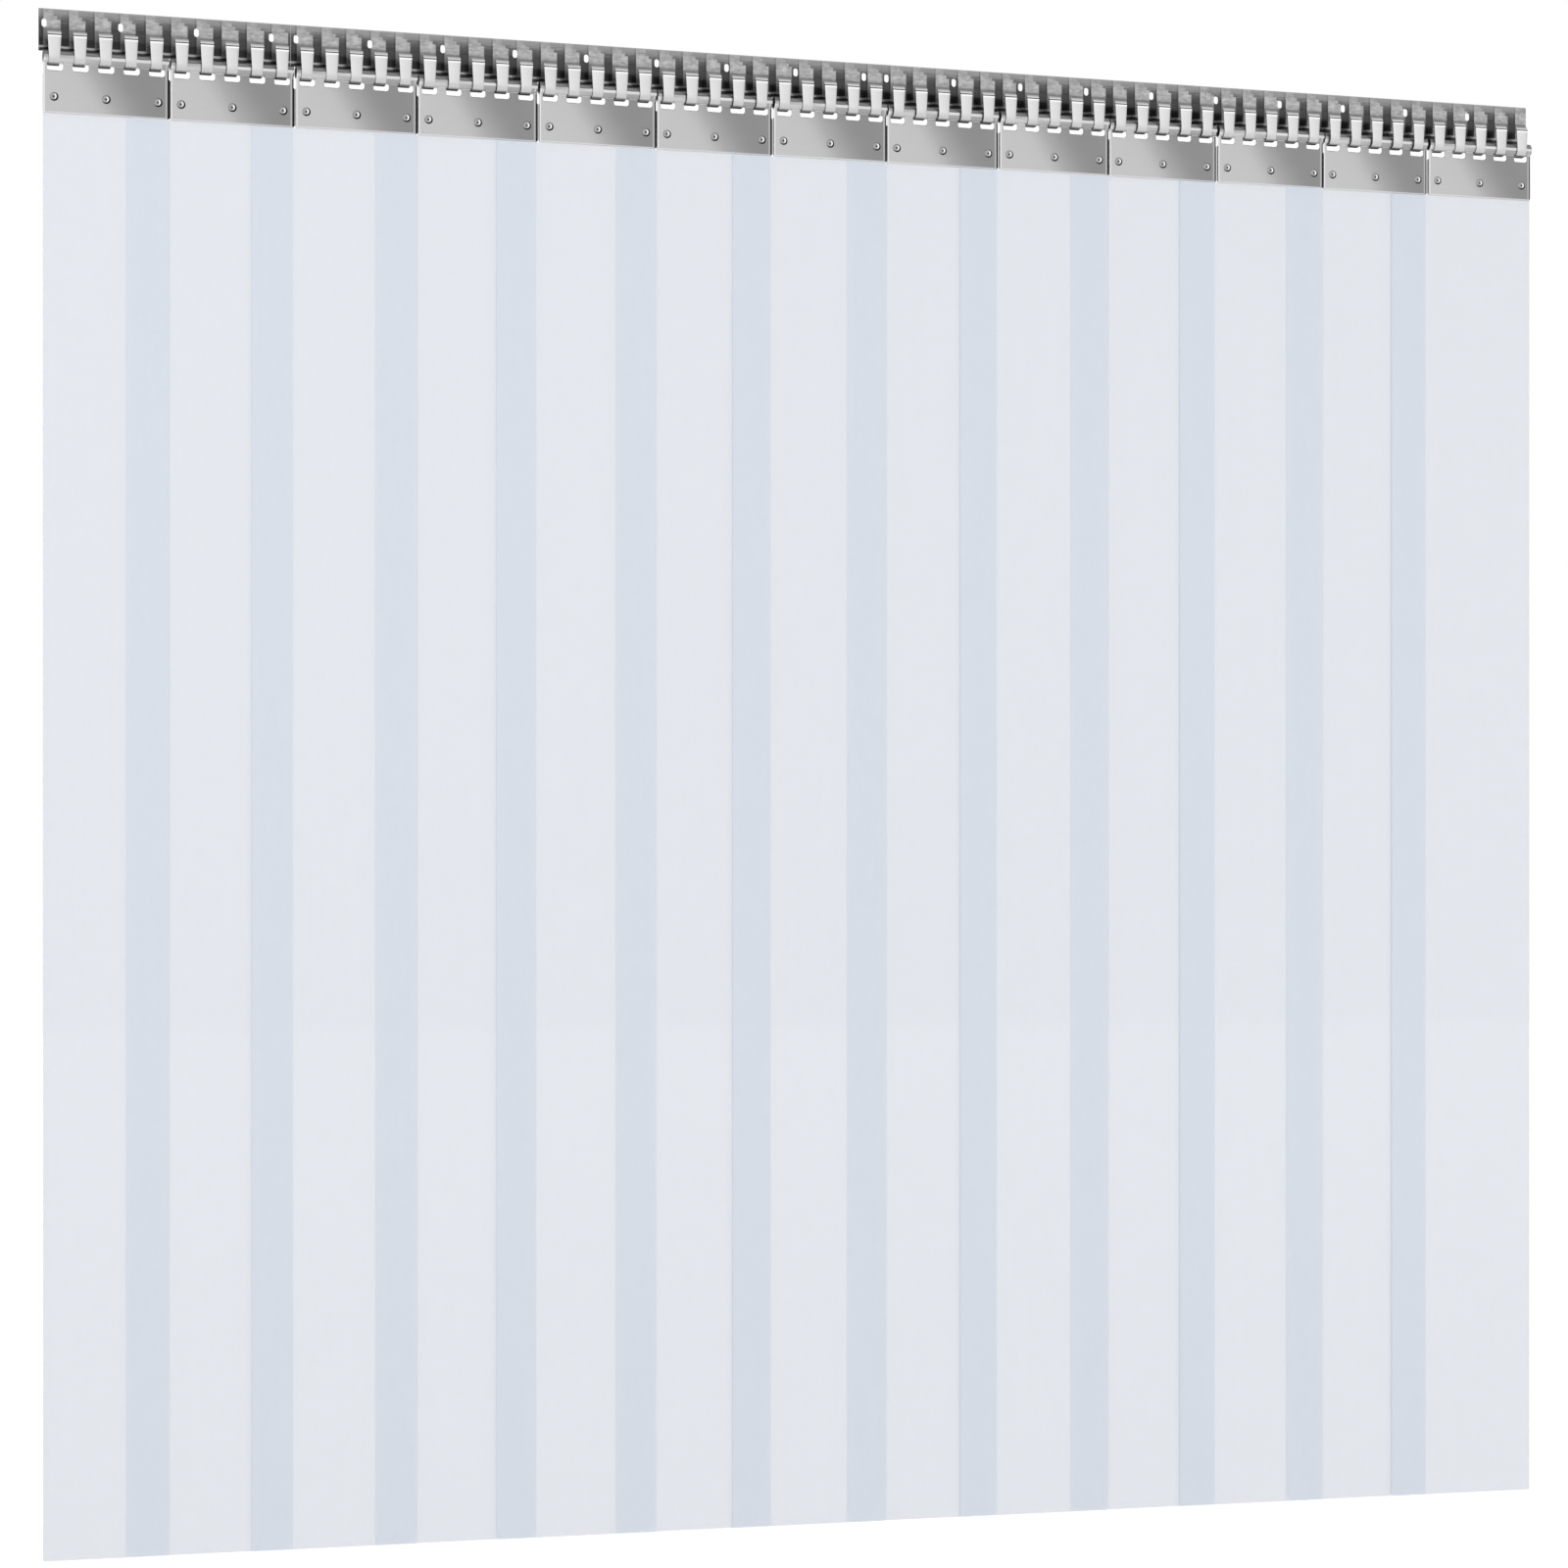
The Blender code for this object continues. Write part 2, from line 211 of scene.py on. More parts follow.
def fade(tree, value, low, high):
    """1 below low, 0 above high, with a smooth step between."""
    return calc(tree, "SUBTRACT", 1.0, smooth(tree, value, low, high))


def window(tree, value, low, high, soft):
    """1 between low and high and 0 outside, with soft sides."""
    rise = smooth(tree, value, low - soft / 2, low + soft / 2)
    fall = smooth(tree, value, high - soft / 2, high + soft / 2)
    return calc(tree, "SUBTRACT", rise, fall)


def mix(tree, share, first, second, blend="MIX"):
    """Mixes two colours."""
    values = dict(zip(MIX_SOCKETS, (share, first, second)))
    return node(tree, "Mix", values, data_type="RGBA", blend_type=blend).outputs[MIX_RESULT]


def shade(tree, colour, share, level, strength=1.0):
    """Mixes a share of an sRGB grey level into a colour."""
    if strength < 1.0:
        share = calc(tree, "MULTIPLY", share, strength)
    return mix(tree, share, colour, flat(level))


def noise(tree, vector, scale, detail=2.0, roughness=0.5):
    """Noise stretched by a scale for each axis, about 0.5."""
    place = node(tree, "Mapping", {"Vector": vector, "Scale": scale}).outputs[0]
    return node(tree, "TexNoise", {"Vector": place, "Scale": 1.0, "Detail": detail,
                                   "Roughness": roughness}).outputs[0]


def around_one(tree, value, amount):
    """Turns noise about 0.5 into a factor about 1."""
    return calc(tree, "ADD", calc(tree, "MULTIPLY", value, 2 * amount), 1 - amount)


def new_material(name, **values):
    """Principled material, with the even values set on the shader's own sockets."""
    material = bpy.data.materials.new(name)
    material.use_nodes = True
    shader = material.node_tree.nodes["Principled BSDF"]
    for key, value in values.items():
        shader.inputs[key.replace("_", " ")].default_value = value
    return material, material.node_tree, shader


def object_place(tree):
    """Object coordinates, whole and split."""
    place = node(tree, "TexCoord").outputs["Object"]
    split = node(tree, "SeparateXYZ", {0: place})
    return place, *split.outputs


# Steel: long fine streaks along X, and soft clouds
BRUSH_ACROSS = (6.0, 40.0, 1400.0)
BRUSH_FINE = (25.0, 200.0, 3500.0)
CLOUDS = (24.0, 24.0, 60.0)
ROUGHNESS_SPREAD = 0.12
BRUSH_BUMP = 0.15


def brushed(tree, place, colour, amount):
    """Brushed look: long fine streaks along X over a colour."""
    streaks = noise(tree, place, BRUSH_ACROSS, detail=4.0, roughness=0.6)
    fine = noise(tree, place, BRUSH_FINE, detail=2.0, roughness=0.6)
    clouds = noise(tree, place, CLOUDS, detail=3.0, roughness=0.5)
    total = calc(tree, "MULTIPLY", around_one(tree, streaks, amount), around_one(tree, fine, amount))
    total = calc(tree, "MULTIPLY", total, around_one(tree, clouds, amount))
    return mix(tree, 1.0, colour, total, "MULTIPLY"), streaks


def steel_finish(tree, shader, colour, streaks, base_roughness, height):
    """Links colour, roughness and bump of a steel surface."""
    tree.links.new(colour, shader.inputs["Base Color"])
    least = base_roughness - ROUGHNESS_SPREAD / 2
    spread = calc(tree, "MULTIPLY_ADD", streaks, ROUGHNESS_SPREAD, least)
    tree.links.new(spread, shader.inputs["Roughness"])
    bump = node(tree, "Bump", {"Strength": BRUSH_BUMP, "Distance": height, "Height": streaks})
    tree.links.new(bump.outputs[0], shader.inputs["Normal"])


def in_pitches(tree, x, shift):
    """Place along the rail in hook pitches, as a share of one pitch and its whole number."""
    pitches = calc(tree, "MULTIPLY_ADD", x, 1 / HOOK_PITCH, shift)
    return calc(tree, "FRACT", pitches), calc(tree, "FLOOR", pitches)


def dice(tree, cell):
    """Three even chances for each hook pitch of each rail section."""
    seed = node(tree, "ObjectInfo").outputs["Random"]
    corner = node(tree, "CombineXYZ", {0: cell, 1: seed}).outputs[0]
    chance = node(tree, "TexWhiteNoise", {"Vector": corner}, noise_dimensions="3D")
    return node(tree, "SeparateColor", {0: chance.outputs["Color"]}).outputs[:3]


# Looks below are told by heights above the screw holes, or above the roll's axis on a plate, and by shares
# of a hook pitch or of a plate's width. A place has a low and a high end, and then how soft its sides are.
# A shade is an sRGB grey level with its strength.
CAP_TOP = FINGER_TOP + LIP_LENGTH * cos(LIP_LEAN)
HOOK_FOOT = -TROUGH_DEPTH - TROUGH_RADIUS - RAIL_SHEET

# The flange's painted reflections of its hooks: light columns, and the dark ones between them
COLUMN_START_SHARE = 0.10
COLUMN_DRIFT_SHARE = 0.38
COLUMN_SHARE = 0.32
COLUMN_SPREAD_SHARE = 0.10
COLUMN_SOFT_SHARE = 0.025
STAIR_SPREAD = 0.003
STAIR_TOPS_AND_SHARES = ((0.0115, 0.14), (0.0075, 0.13))
REFLECTION_MOTTLE = (110.0, 10.0, 240.0)
COLUMN_GREYS = ((0.3, 148), (0.43, 169), (0.58, 188), (0.72, 204))
COLUMN_FOOT = (CAP_TOP - 0.003, CAP_TOP + 0.016)
COLUMN_FOOT_SHADE = (112, 0.7)
FLANGE_STREAKS = (60.0, 10.0, 480.0)
STREAK_REACH = 0.016
DARK_COLUMN_GREYS = ((0.0, 52), (0.36, 50), (0.52, 66), (0.66, 86), (0.78, 106), (0.9, 152), (1.0, 164))

# The flange's painted shade above the hooks and at the edges between the columns, fine lines, its painted
# grey top, and a painted highlight along its top edge
HOOK_SHADE_PLACE = (CAP_TOP - 0.004, CAP_TOP + 0.0072, 0.0025)
HOOK_SHADE = (84, 0.5)
COLUMN_EDGE_PLACE = (0.93, 0.985, 0.05)
COLUMN_EDGE_STRENGTH = 0.7
COLUMN_EDGE_LOSS = 0.3
COLUMN_EDGE_GREY = 56
TOP_PLACE = (RAIL_TOP - 0.013, RAIL_TOP - 0.004)
TOP_SHADE = (144, 0.4)
FLANGE_LINES = (30.0, 10.0, 1500.0)
LINE_CONTRAST = 0.22
TOP_EDGE = (RAIL_TOP - 0.0012, RAIL_TOP - 0.0006)
TOP_EDGE_SHADE = (190, 0.6)

# The painted highlight along the tongues' edges, with painted shade below it
RIM_RISE = 0.0045
RIM_CROWN = 0.0009
RIM_PLACE = (-0.0008, 0.0018, 0.0012)
RIM_GREY = 164
BELOW_RIM = (-0.0010, -0.0004)
BELOW_RIM_GREY = 60


def flange_colour(tree, place, x, z):
    """Bright rolled flange with painted reflections of its hooks: a light column above each hook, whose right
    side comes out in stairs, and dark columns between them, which fade towards the streaky top. The columns
    drift to the right along the rail. A painted highlight with painted shade below it runs in arcs along the
    tongues' edges."""
    location = node(tree, "ObjectInfo").outputs["Location"]
    section_place = node(tree, "SeparateXYZ", {0: location}).outputs[0]
    along = node(tree, "MapRange", {"Value": calc(tree, "ADD", section_place, x),
                                    "From Min": cad_box[0].x, "From Max": cad_box[1].x}).outputs[0]
    drift = calc(tree, "MULTIPLY_ADD", along, -COLUMN_DRIFT_SHARE, -COLUMN_START_SHARE)
    across, cell = in_pitches(tree, x, drift)
    chances = dice(tree, cell)
    reflection_mottle = noise(tree, place, REFLECTION_MOTTLE, detail=3.0, roughness=0.6)
    streaks = noise(tree, place, FLANGE_STREAKS, detail=3.0, roughness=0.6)
    fine = noise(tree, place, FLANGE_LINES, detail=2.0, roughness=0.6)

    # Painted reflections of the hooks: mottled light columns with stairs at their right sides, over dark ones
    stair_place = calc(tree, "MULTIPLY_ADD", chances[0], STAIR_SPREAD, z)
    side = calc(tree, "MULTIPLY_ADD", chances[1], COLUMN_SPREAD_SHARE, COLUMN_SHARE)
    for top, share in STAIR_TOPS_AND_SHARES:
        side = calc(tree, "MULTIPLY_ADD", calc(tree, "LESS_THAN", stair_place, top), share, side)
    light = fade(tree, calc(tree, "SUBTRACT", across, side), -COLUMN_SOFT_SHARE, COLUMN_SOFT_SHARE)
    light_grey = ramp(tree, reflection_mottle, COLUMN_GREYS)
    light_grey = shade(tree, light_grey, fade(tree, z, *COLUMN_FOOT), *COLUMN_FOOT_SHADE)

    level = calc(tree, "MULTIPLY_ADD", streaks, STREAK_REACH, calc(tree, "ADD", z, -STREAK_REACH / 2))
    height = node(tree, "MapRange", {"Value": level, "From Min": -TONGUE_DEPTH,
                                     "From Max": RAIL_TOP}).outputs[0]
    colour = mix(tree, light, ramp(tree, height, DARK_COLUMN_GREYS), light_grey)
    # Painted shade above the hooks, painted dark edges between the columns, the painted grey top and the
    # painted highlight along the top edge
    colour = shade(tree, colour, window(tree, z, *HOOK_SHADE_PLACE), *HOOK_SHADE)
    column_edge_strength = calc(tree, "SUBTRACT", COLUMN_EDGE_STRENGTH, calc(tree, "MULTIPLY", height, COLUMN_EDGE_LOSS))
    column_edge = calc(tree, "MULTIPLY", window(tree, across, *COLUMN_EDGE_PLACE), column_edge_strength)
    colour = shade(tree, colour, column_edge, COLUMN_EDGE_GREY)
    colour = shade(tree, colour, smooth(tree, level, *TOP_PLACE), *TOP_SHADE)
    colour = mix(tree, 1.0, colour, around_one(tree, fine, LINE_CONTRAST), "MULTIPLY")
    colour = shade(tree, colour, smooth(tree, z, *TOP_EDGE), *TOP_EDGE_SHADE)

    # Painted highlight in arcs along the tongues' edges, with painted shade below it
    middle, _ = in_pitches(tree, x, HANGER_SETTLE / HOOK_PITCH)
    aside = calc(tree, "ABSOLUTE", calc(tree, "SUBTRACT", middle, 0.5))
    share = calc(tree, "DIVIDE", calc(tree, "SUBTRACT", 0.5, aside), (1 - HOOK_WIDTH / HOOK_PITCH) / 2)
    share = calc(tree, "MINIMUM", share, 1.0)
    arc_rise = calc(tree, "MULTIPLY", calc(tree, "MULTIPLY", share, share), RIM_CROWN)
    above_rim = calc(tree, "SUBTRACT", z, calc(tree, "ADD", arc_rise, RIM_RISE - TONGUE_DEPTH))
    colour = shade(tree, colour, fade(tree, above_rim, *BELOW_RIM), BELOW_RIM_GREY)
    return shade(tree, colour, window(tree, above_rim, *RIM_PLACE), RIM_GREY)


# The fingers, from their faces to their feet, with their painted light and shade
FINGER_GREYS = ((0.22, 240), (0.3, 232), (0.5, 226), (0.66, 220), (0.74, 196))
FOOT_BEND = (-TROUGH_DEPTH - 0.0060, -TROUGH_DEPTH + 0.0010)
FOOT_BEND_GREY = 206
WHITE_LINE = (FINGER_TOP - 0.0024, FINGER_TOP - 0.0004, 0.0006)
LIP_START = (FINGER_TOP + 0.0006, FINGER_TOP + 0.0012)
LIP_END = (CAP_TOP - 0.0022, CAP_TOP - 0.0008)
LIP_GREY = 212
LIP_END_GREY = 172
DARK_LINE = (FINGER_TOP - 0.0003, FINGER_TOP + 0.0009, 0.0003)
DARK_LINE_GREY = 58
UNDERSIDE = (HOOK_FOOT + 0.0002, HOOK_FOOT + 0.0012)
UNDERSIDE_GREY = 96


def hook_colour(tree, x, z):
    """Bright fingers, painted lighter at the left and darker at the right, with a painted highlight at the
    bend and a painted shade line above it, below the lip, which is painted greyer with a darker tip. The bend
    at the foot is painted a little darker, and its underside in dark painted shade."""
    across, _ = in_pitches(tree, x, HANGER_SETTLE / HOOK_PITCH)
    # Painted shading: the fingers lighter at their left sides and darker at their right
    face = ramp(tree, across, FINGER_GREYS)
    face = mix(tree, smooth(tree, z, *FOOT_BEND), flat(FOOT_BEND_GREY), face)
    face = mix(tree, window(tree, z, *WHITE_LINE), face, WHITE)
    lip = shade(tree, flat(LIP_GREY), smooth(tree, z, *LIP_END), LIP_END_GREY)
    face = mix(tree, smooth(tree, z, *LIP_START), face, lip)
    face = shade(tree, face, window(tree, z, *DARK_LINE), DARK_LINE_GREY)
    return shade(tree, face, fade(tree, z, *UNDERSIDE), UNDERSIDE_GREY)


# Where on the bent sheet each look of the rail is, by depth and height
FLANGE_FRONT = (-RAIL_SHEET - 0.0003, -RAIL_SHEET + 0.0003, 0.0001)
TONGUE_FEET = (-TONGUE_DEPTH - 0.0025, -TONGUE_DEPTH - 0.0005)
FINGER_DEPTH = (-HOOK_CENTRE_OUT - 0.001, -HOOK_CENTRE_OUT + 0.001)
# The hooks' rear faces below the tongues are painted dark, as shade between the hooks
HOOK_REAR_GREY = 78
FLANGE_REAR_GREY = 176
EDGE_TINT = 0.25


def rail_material():
    """Rolled steel, each face of the sheet told apart by its place: the flange's front, the fingers, and the
    hooks behind them, painted dark as shade."""
    material, tree, shader = new_material("rail_bright_steel", Metallic=1.0,
                                          Specular_Tint=(*[EDGE_TINT] * 3, 1.0))
    place, x, y, z = object_place(tree)
    on_flange_front = window(tree, y, *FLANGE_FRONT)
    rear = mix(tree, smooth(tree, z, *TONGUE_FEET), flat(HOOK_REAR_GREY), flat(FLANGE_REAR_GREY))
    flange = mix(tree, on_flange_front, rear, flange_colour(tree, place, x, z))
    colour = mix(tree, smooth(tree, y, *FINGER_DEPTH), hook_colour(tree, x, z), flange)
    colour, streaks = brushed(tree, place, colour, amount=0.05)
    steel_finish(tree, shader, colour, streaks, base_roughness=0.26, height=0.00005)
    return material


# The front plate's roll, with its painted reflections and highlights, by height above its axis
ROLL_DARK_FOOT = 0.0010
LENS_RISE = 0.0012
LENS_SOFT = 0.0006
ROLL_DARK_GREYS = ((0.0, 122), (0.1, 110), (0.28, 132), (0.45, 134), (0.62, 98), (1.0, 72))
ROLL_BAND_FOOT = -0.0022
ROLL_BAND_SOFT = 0.0007
ROLL_BAND_GREYS = ((0.1, 180), (0.35, 206), (0.55, 230), (1.0, 218))
ROLL_LINE_TOP = -0.0062
ROLL_LINE_SOFT = 0.0008
ROLL_LINE_STRENGTH = 0.5
ROLL_FOOT_STRENGTH = 0.15
ROLL_LINE_GREY = 250


def roll_colour(tree, x, z, share, leaf):
    """The roll: painted dark reflections in lenses between the hooks above, a thin painted highlight band
    below them, then the leaf's grey, and at its foot a painted highlight line, the foot painted a little
    lighter."""
    middle, _ = in_pitches(tree, x, HANGER_PITCH / 2 / HOOK_PITCH + HANGER_SETTLE / HOOK_PITCH)
    aside = calc(tree, "ABSOLUTE", calc(tree, "SUBTRACT", middle, 0.5))
    to_hook = calc(tree, "SUBTRACT", 1.0, calc(tree, "MULTIPLY", aside, 2.0))
    lens = calc(tree, "MULTIPLY_ADD", calc(tree, "POWER", to_hook, 2.0), LENS_RISE, ROLL_DARK_FOOT)
    above = calc(tree, "SUBTRACT", z, lens)
    foot = smooth(tree, z, -ROLL_RADIUS, ROLL_LINE_TOP)
    line = window(tree, z, -ROLL_RADIUS, ROLL_LINE_TOP, ROLL_LINE_SOFT)
    foot_share = calc(tree, "MULTIPLY", foot, ROLL_FOOT_STRENGTH)
    lift = calc(tree, "MULTIPLY_ADD", line, ROLL_LINE_STRENGTH, foot_share)
    below = shade(tree, leaf, lift, ROLL_LINE_GREY)
    in_band = smooth(tree, z, ROLL_BAND_FOOT - ROLL_BAND_SOFT, ROLL_BAND_FOOT + ROLL_BAND_SOFT)
    band = mix(tree, in_band, below, ramp(tree, share, ROLL_BAND_GREYS))
    # Painted dark reflections in the lenses, over the painted highlight band
    dark = ramp(tree, calc(tree, "MULTIPLY", above, 1 / ROLL_RADIUS), ROLL_DARK_GREYS)
    return mix(tree, smooth(tree, above, -LENS_SOFT, LENS_SOFT), band, dark)


# The front plate's leaf, with painted shading, painted edge highlights and painted shade by the gap, by
# shares of its width, and its foot by height
PLATE_GREYS = ((0.0, 201), (0.29, 201), (0.44, 178), (0.69, 142), (1.0, 150))
GRADIENT_SLANT = 4.17
GRADIENT_LEVEL = 0.0281
LEFT_LINE = (0.009, 0.015)
RIGHT_LINE = (0.970, 0.980)
RIGHT_LINE_STRENGTH = 0.4
FOOT_LINE = (PLATE_LOW.z + 0.0009, PLATE_LOW.z + 0.0016)
FOOT_LINE_STRENGTH = 0.7
PLATE_LINE_GREY = 236
GAP_SHADE = (0.9870, 0.9900)
GAP_SHADE_GREY = 50


def plate_material():
    """Brushed plate, with painted shading from light at the left to darker at the right, painted highlights
    along its edges, and painted shade at its side by the gap to the next plate."""
    material, tree, shader = new_material("plate_brushed_steel", Metallic=1.0)
    place, x, _, z = object_place(tree)
    width = PLATE_HIGH.x - PLATE_LOW.x
    share = calc(tree, "MULTIPLY_ADD", x, 1 / width, 0.5)
    slant = calc(tree, "MULTIPLY", calc(tree, "ADD", z, GRADIENT_LEVEL), GRADIENT_SLANT)
    leaf = ramp(tree, calc(tree, "ADD", share, slant), PLATE_GREYS, "B_SPLINE")
    right = calc(tree, "MULTIPLY", smooth(tree, share, *RIGHT_LINE), RIGHT_LINE_STRENGTH)
    foot = calc(tree, "MULTIPLY", fade(tree, z, *FOOT_LINE), FOOT_LINE_STRENGTH)
    lines = calc(tree, "MAXIMUM", fade(tree, share, *LEFT_LINE), right)
    lines = calc(tree, "MAXIMUM", lines, foot)
    # Painted highlights along the edges, then painted shade by the gap
    leaf = shade(tree, leaf, lines, PLATE_LINE_GREY)
    leaf = shade(tree, leaf, smooth(tree, share, *GAP_SHADE), GAP_SHADE_GREY)
    colour = roll_colour(tree, x, z, share, leaf)
    colour, streaks = brushed(tree, place, colour, amount=0.03)
    steel_finish(tree, shader, colour, streaks, base_roughness=0.34, height=0.00004)
    return material


# The rivets' painted shade and highlight, by distance from points beside their middles
RIVET_SHADE_ASIDE = 0.0012
DIMPLE_REACH = (0.0005, 0.0021)
DIMPLE_GREY = 62
DOME_GREY = 166
GLEAM_REACH = (0.0018, 0.0034, 0.0008)
GLEAM_SIDE = (-0.0004, 0.0010)
CRESCENT_REACH = (0.0038, 0.0046)
CRESCENT_GREY = 44


def rivet_material():
    """Bright domed rivets with a dimple in dark painted shade, a painted white highlight beside it, and a
    painted shade crescent at the lower right."""
    material, tree, shader = new_material("rivet_steel", Metallic=1.0)
    place, x, _, z = object_place(tree)
    spacing = rivet_places()[2]
    aside = calc(tree, "WRAP", x, spacing / 2, -spacing / 2)
    up = calc(tree, "ADD", z, RIVET_DROP)

    def from_point(side, rise):
        a = calc(tree, "POWER", calc(tree, "SUBTRACT", aside, side), 2.0)
        b = calc(tree, "POWER", calc(tree, "SUBTRACT", up, rise), 2.0)
        return calc(tree, "SQRT", calc(tree, "ADD", a, b))

    from_dimple = from_point(-RIVET_SHADE_ASIDE / 2, 0)
    # Painted shade in the dimple, a painted highlight beside it, then a painted shade crescent
    colour = mix(tree, smooth(tree, from_dimple, *DIMPLE_REACH), flat(DIMPLE_GREY), flat(DOME_GREY))
    gleam = calc(tree, "MULTIPLY", window(tree, from_dimple, *GLEAM_REACH), smooth(tree, aside, *GLEAM_SIDE))
    colour = mix(tree, gleam, colour, WHITE)
    from_upper_left = from_point(-RIVET_SHADE_ASIDE, RIVET_SHADE_ASIDE / 2)
    colour = shade(tree, colour, smooth(tree, from_upper_left, *CRESCENT_REACH), CRESCENT_GREY)
    colour, streaks = brushed(tree, place, colour, amount=0.03)
    steel_finish(tree, shader, colour, streaks, base_roughness=0.24, height=0.00003)
    return material


# The back plate, whose margin shows in the gap, painted dark there as shade
GAP_MARGIN = (PLATE_HIGH.x - 0.0012, PLATE_HIGH.x - 0.0002)
BACK_PLATE_GREY = 176
GAP_MARGIN_GREY = 36


def back_plate_material():
    """Plain back plate, painted dark as shade along the margin that closes the gap to the next plate."""
    material, tree, shader = new_material("back_plate_steel", Metallic=1.0)
    place, x, *_ = object_place(tree)
    # Painted shade along the margin in the gap
    colour = shade(tree, flat(BACK_PLATE_GREY), smooth(tree, x, *GAP_MARGIN), GAP_MARGIN_GREY)
    colour, streaks = brushed(tree, place, colour, amount=0.05)
    steel_finish(tree, shader, colour, streaks, base_roughness=0.36, height=0.00004)
    return material


# The clear strips
PVC_TINT = (0.808, 0.838, 0.890, 1.0)
# The lap tint is painted lighter and bluer, lifting the shade the strips cast on each other where they lap
PVC_LAP_TINT = (0.834, 0.888, 0.966, 1.0)
PVC_ALPHA = 0.6
PVC_STREAKS = (260.0, 1.0, 1.6)
PVC_CONTRAST = 0.008
PVC_BUMP = 0.1
PVC_BUMP_HEIGHT = 0.0002


def pvc_material(name, neighbour):
    """Clear PVC with the faint upright draw lines of extruded sheet. Where it laps with another strip, at the
    left, and at the right if it has a neighbour there, it is painted lighter and bluer, which stands in for
    the look of the doubled sheet and lifts the shade the strips cast on each other there."""
    material, tree, shader = new_material(name, Roughness=0.14, IOR=1.53, Alpha=PVC_ALPHA)
    place, x, *_ = object_place(tree)
    lapped = calc(tree, "LESS_THAN", x, STRIP_HIGH.x - HANGER_PITCH)
    if neighbour:
        lapped = calc(tree, "MAXIMUM", lapped, calc(tree, "GREATER_THAN", x, LAP_LOW.x + HANGER_PITCH))
    lines = noise(tree, place, PVC_STREAKS, detail=2.0, roughness=0.5)
    colour = mix(tree, lapped, PVC_TINT, PVC_LAP_TINT)
    colour = mix(tree, 1.0, colour, around_one(tree, lines, PVC_CONTRAST), "MULTIPLY")
    tree.links.new(colour, shader.inputs["Base Color"])
    bump = node(tree, "Bump", {"Strength": PVC_BUMP, "Distance": PVC_BUMP_HEIGHT, "Height": lines})
    tree.links.new(bump.outputs[0], shader.inputs["Normal"])
    return material


# Sheet metal, made as a flat layout that is bent along a section
def sheet_section(path, thickness):
    """Stations of a bent sheet: length along its middle line, and its two skin points there."""
    stations = []
    length = 0.0
    for i, point in enumerate(path):
        before = (point - path[i - 1]).normalized() if i else None
        after = (path[i + 1] - point).normalized() if i + 1 < len(path) else before
        before = before or after
        along = (before + after).normalized()
        across = Vector((-along.y, along.x)) * (thickness / 2 / along.dot(after))
        length += (point - path[i - 1]).length if i else 0.0
        stations.append((length, point - across, point + across))
    return stations


def on_section(stations, length, side):
    """Skin point of a bent sheet at a length along its middle line."""
    for start, end in zip(stations, stations[1:]):
        if length <= end[0]:
            break
    share = (length - start[0]) / (end[0] - start[0])
    return start[1 + side].lerp(end[1 + side], share)


def thicken(layout, place):
    """Closed solid from a flat layout: each face on both skins, and a wall on each open edge."""
    solid = bmesh.new()
    layout.verts.index_update()
    skins = [[solid.verts.new(place(v.co.x, v.co.y, side)) for v in layout.verts] for side in (0, 1)]
    for face in layout.faces:
        for skin in skins:
            solid.faces.new([skin[v.index] for v in face.verts])
    for edge in layout.edges:
        if edge.is_boundary:
            a, b = (v.index for v in edge.verts)
            solid.faces.new((skins[0][a], skins[0][b], skins[1][b], skins[1][a]))
    layout.free()
    return solid


def finish_mesh(name, solid):
    """Mesh of a closed bmesh, smooth but for its edges."""
    bmesh.ops.recalc_face_normals(solid, faces=solid.faces)
    mesh = bpy.data.meshes.new(name)
    solid.to_mesh(mesh)
    solid.free()
    mesh.shade_smooth()
    mesh.set_sharp_from_angle(angle=SHARP_ANGLE)
    return mesh


def add_loop(layout, points):
    """Closed loop of edges in a flat layout, returned with its vertices."""
    verts = [layout.verts.new((x, y, 0)) for x, y in points]
    edges = [layout.edges.new(pair) for pair in zip(verts, verts[1:] + verts[:1])]
    return verts, edges


def arc(centre, radius, first, last, count):
    """Points from one angle to another, in that many steps."""
    x, y = centre
    return [(x + radius * cos(a), y + radius * sin(a)) for a in steps(first, last, count)]


def circle(centre, radius):
    """Circle with a rivet's number of sides, without its first point again at the end."""
    return arc(centre, radius, 0, 2 * pi, RIVET_SIDES)[:-1]


def fill(layout, edges):
    """Fills loops of edges, holes left open, with as few flat faces as do."""
    made = bmesh.ops.triangle_fill(layout, use_beauty=True, edges=edges)["geom"]
    inner = [g for g in made if isinstance(g, bmesh.types.BMEdge) and not g.is_boundary]
    bmesh.ops.dissolve_limit(layout, angle_limit=FLAT_ANGLE, verts=[], edges=inner)


def long_hole(centre, width, height):
    """Upright hole with round ends."""
    radius = width / 2
    rise = height / 2 - radius
    top = arc((centre[0], centre[1] + rise), radius, 0, pi, SCREW_HOLE_STEPS)
    return top + arc((centre[0], centre[1] - rise), radius, pi, 2 * pi, SCREW_HOLE_STEPS)


def add_piece(name, mesh, material, body, replaced, place=(0, 0, 0), edge=None):
    """Object on a CAD body that stands for CAD nodes, with its edges rounded by a bevel."""
    obj = bpy.data.objects.new(name, mesh)
    bpy.context.scene.collection.objects.link(obj)
    if not mesh.materials:
        mesh.materials.append(material)
    obj.location = place
    if edge:
        bevel = obj.modifiers.new("edge", "BEVEL")
        bevel.width = edge
        bevel.segments = 2
        bevel.limit_method = "ANGLE"
        bevel.angle_limit = SHARP_ANGLE
        bevel.harden_normals = True
    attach(obj, body)
    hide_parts(*replaced)
    return obj


